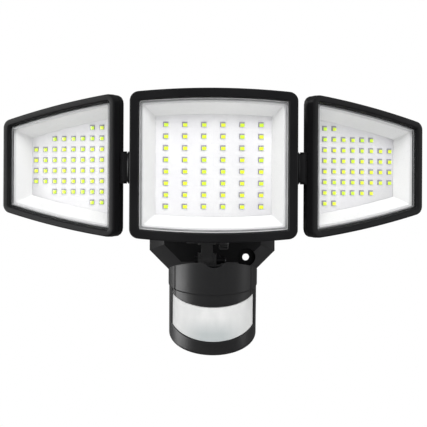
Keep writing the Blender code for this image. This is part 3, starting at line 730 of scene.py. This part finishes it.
def hood(lower_edge, region):
    """The drum's hood inside a region: a wall, a slanting top and the pocket the yoke turns in."""
    low, high = LENS_BOTTOM[0] - 30.0, 16.0
    body = loft([drum_ring(BROW_RADIUS, low), drum_ring(BROW_RADIUS, RIDGE),
                 drum_ring(DRUM_RADIUS, RIDGE + 0.6), drum_ring(DRUM_RADIUS, high)])
    top, slope = HOOD_TOP
    ceiling = (top - DRUM_WALL * math.hypot(1, slope), slope)
    inner = BROW_RADIUS - DRUM_WALL
    hollow = loft([drum_ring(inner, low - 1), drum_ring(inner, high)])
    hollow = carve(hollow, "DIFFERENCE", plane_side(ceiling, True))
    hollow = carve(hollow, "DIFFERENCE", rod((0.0, DRUM_Y), POCKET_RADIUS + POCKET_WALL, SEAT - DRUM_WALL,
                                             high + 2, "z"))
    body = carve(body, "DIFFERENCE", hollow)
    body = carve(body, "DIFFERENCE", plane_side(HOOD_TOP, True))
    body = carve(body, "DIFFERENCE", plane_side(lower_edge, False))
    body = carve(body, "DIFFERENCE", rod((0.0, DRUM_Y), POCKET_RADIUS, SEAT, high + 2, "z"))
    return carve(body, "INTERSECT", region)


def build_sensor_hood():
    split, window = DRUM_Y - SPLIT_FORWARD, DRUM_Y - WINDOW_FORWARD
    top = LENS_TOP[0] + GAP
    in_front = slab([(-FAR, -FAR), (split - GAP / 2, -FAR), (split - GAP / 2, FAR), (-FAR, FAR)])
    cap = hood((top, LENS_TOP[1]), in_front)
    notch_x, notch_z, notch_radius = NOTCH
    cap = carve(cap, "DIFFERENCE", rod((notch_x, notch_z), notch_radius, -60.0, 0.0, "y"))
    behind = slab([(split + GAP / 2, FAR), (split + GAP / 2, top - LENS_TOP[1] * SPLIT_FORWARD),
                   (window, top - LENS_TOP[1] * WINDOW_FORWARD),
                   (window, -FAR), (FAR, -FAR), (FAR, FAR)])
    shell = hood((LENS_BOTTOM[0] + GAP, LENS_BOTTOM[1]), behind)
    shell = carve(shell, "DIFFERENCE", rod((0.0, DRUM_Y), POST_RADIUS + 0.4, SEAT - 6, SEAT + 4, "z"))
    for bm, node in ((cap, "sensor_front_cap"), (shell, "sensor_rear_shell")):
        bm.transform(sensor_place())
        obj = finish_piece(f"{node}_look", bm, ["sensor"], node, smooth=30.0)
        round_edges(obj)


def build_sensor_bottom():
    height, slope = DRUM_BOTTOM
    upper, upper_slope = LENS_BOTTOM
    inner = BROW_RADIUS - DRUM_WALL
    rings = [drum_ring(inner - 2.5, height + 2.4, slope), drum_ring(inner, height + 4.6, slope),
             drum_ring(inner, upper - GAP, upper_slope), drum_ring(BROW_RADIUS, upper - GAP, upper_slope)]
    steps = 10
    for k in range(steps + 1):
        angle = math.radians(90 * k / steps)
        rings.append(drum_ring(BROW_RADIUS - 3.0 + 3.0 * math.cos(angle),
                               height + 3.0 - 3.0 * math.sin(angle), slope))
    cup = loft(rings)
    panel = Matrix.Translation((0.0, DRUM_Y, height)) @ Matrix.Rotation(math.atan(slope), 4, "X")
    for x in (-KNOB_PITCH, 0.0, KNOB_PITCH):
        hole = rod((x, 0.0), KNOB_RADIUS + 0.4, -6.0, 6.0, "z", 48)
        hole.transform(panel)
        cup = carve(cup, "DIFFERENCE", hole)
    cup.transform(sensor_place())
    obj = finish_piece("sensor_bottom_look", cup, ["sensor"], "sensor_bottom_cover", smooth=30.0)
    round_edges(obj)


# CAD nodes that keep their shape

def soften(node):
    """Rounds a CAD node's edges: welds its split points, clears the triangles and bevels."""
    obj = NODES[node]
    weld = obj.modifiers.new("Weld", "WELD")
    weld.merge_threshold = 0.00001
    planar = obj.modifiers.new("Planar", "DECIMATE")
    planar.decimate_type = "DISSOLVE"
    planar.angle_limit = math.radians(1)
    bevel = obj.modifiers.new("Bevel", "BEVEL")
    bevel.width = NODE_ROUND * MM
    bevel.segments = 2
    bevel.limit_method = "ANGLE"
    bevel.angle_limit = math.radians(32)
    bevel.harden_normals = False
    bevel.use_clamp_overlap = True


def dress(node, look):
    slots = NODES[node].data.materials
    slots.clear()
    slots.append(LOOKS[look])


def dress_cad():
    looks = {
        # The base, cast and knob looks are lightened copies of the black: painted light for parts that lie
        # in shade.
        "base_housing": "base", "base_back_plate": "zinc", "wire_grommet": "rubber",
        "driver_board": "circuit", "driver_transformer": "bright", "driver_capacitor": "rubber",
        "support_arm": "cast", "centre_yoke": "cast", "head_clamp_knob": "knob",
        "sensor_yoke": "cast", "sensor_front_cap": "sensor", "sensor_rear_shell": "sensor",
        "sensor_bottom_cover": "sensor", "sensor_board": "circuit", "pyro_sensor": "bright",
        "time_knob": "dial", "lux_knob": "dial", "range_knob": "dial",
    }
    for label in ("centre", "left", "right"):
        looks[f"{label}_rear_housing"] = "shell"
        looks[f"{label}_gasket"] = "rubber"
    for label in ("left", "right"):
        looks[f"{label}_hinge_stub"] = "shell"
    for node in NODES:
        dress(node, looks.get(node, "hardware"))


# Stage

def build_stage():
    bm = bmesh.new()
    bmesh.ops.create_circle(bm, cap_ends=True, segments=96, radius=FLOOR_RADIUS)
    bm.transform(Matrix.Translation((0.0, 0.0, FLOOR_Z)))
    mesh = bpy.data.meshes.new("floor")
    bm.to_mesh(mesh)
    bm.free()
    look = Look("floor_paper", 0.8)
    look.feed(colour=look.ramp(look.noise(3.0), (0.86, 0.86, 0.86), (0.88, 0.88, 0.88)))
    mesh.materials.append(look.mat)
    floor = bpy.data.objects.new("floor", mesh)
    bpy.context.scene.collection.objects.link(floor)
    floor.visible_glossy = False

    world = bpy.data.worlds.new("studio")
    bpy.context.scene.world = world
    world.use_nodes = True
    tree = world.node_tree
    background = tree.nodes["Background"]
    background.inputs["Color"].default_value = WHITE
    background.inputs["Strength"].default_value = FILL
    path = tree.nodes.new("ShaderNodeLightPath")
    shown = background.outputs["Background"]
    for ray, strength in (("Is Glossy Ray", MIRRORED), ("Is Camera Ray", 1.0)):
        other = tree.nodes.new("ShaderNodeBackground")
        other.inputs["Color"].default_value = WHITE
        other.inputs["Strength"].default_value = strength
        join = tree.nodes.new("ShaderNodeMixShader")
        tree.links.new(path.outputs[ray], join.inputs["Fac"])
        tree.links.new(shown, join.inputs[1])
        tree.links.new(other.outputs["Background"], join.inputs[2])
        shown = join.outputs["Shader"]
    tree.links.new(shown, tree.nodes["World Output"].inputs["Surface"])


def add_light(name, place, target, size, power, mirrored=True, spread=True):
    """An area light. It can be kept out of gloss, or seen by gloss alone."""
    data = bpy.data.lights.new(name, "AREA")
    data.shape = "RECTANGLE"
    data.size, data.size_y = size
    data.energy = power
    obj = bpy.data.objects.new(name, data)
    obj.location = place
    obj.rotation_euler = (Vector(target) - Vector(place)).to_track_quat("-Z", "Y").to_euler()
    obj.visible_glossy = mirrored
    obj.visible_diffuse = spread
    bpy.context.scene.collection.objects.link(obj)


def build_lights():
    middle = (0.0, -0.08, 0.0)
    add_light("key", (0.0, -1.6, 1.9), middle, (1.5, 1.0), 58.0, mirrored=False)
    add_light("left_gloss", (-1.6, 0.06, 0.1), middle, (1.3, 1.7), 44.0, spread=False)
    add_light("right_gloss", (1.6, -0.1, 0.1), middle, (0.6, 1.5), 8.0, spread=False)
    add_light("top_gloss", (0.0, -0.7, 1.7), middle, (1.6, 0.5), 4.0, spread=False)


def build_camera():
    data = bpy.data.cameras.new("camera")
    data.sensor_width = 36.0
    data.lens = FOCAL_LENGTH
    camera = bpy.data.objects.new("camera", data)
    level = Matrix.Rotation(math.radians(90), 4, "X")
    roll = Matrix.Rotation(math.radians(CAMERA_ROLL), 4, "Z")
    yaw = Matrix.Rotation(math.radians(CAMERA_YAW), 4, "Z")
    camera.matrix_world = Matrix.Translation(CAMERA_PLACE) @ yaw @ level @ roll
    bpy.context.scene.collection.objects.link(camera)
    bpy.context.scene.camera = camera
    bpy.context.scene.view_settings.view_transform = "Standard"


dress_cad()
build_heads()
build_sensor_lens()
build_sensor_hood()
build_sensor_bottom()
for name in ("base_housing", "support_arm", "centre_yoke", "head_clamp_knob", "sensor_yoke",
             "centre_rear_housing", "left_rear_housing", "right_rear_housing"):
    soften(name)
build_stage()
build_lights()
build_camera()
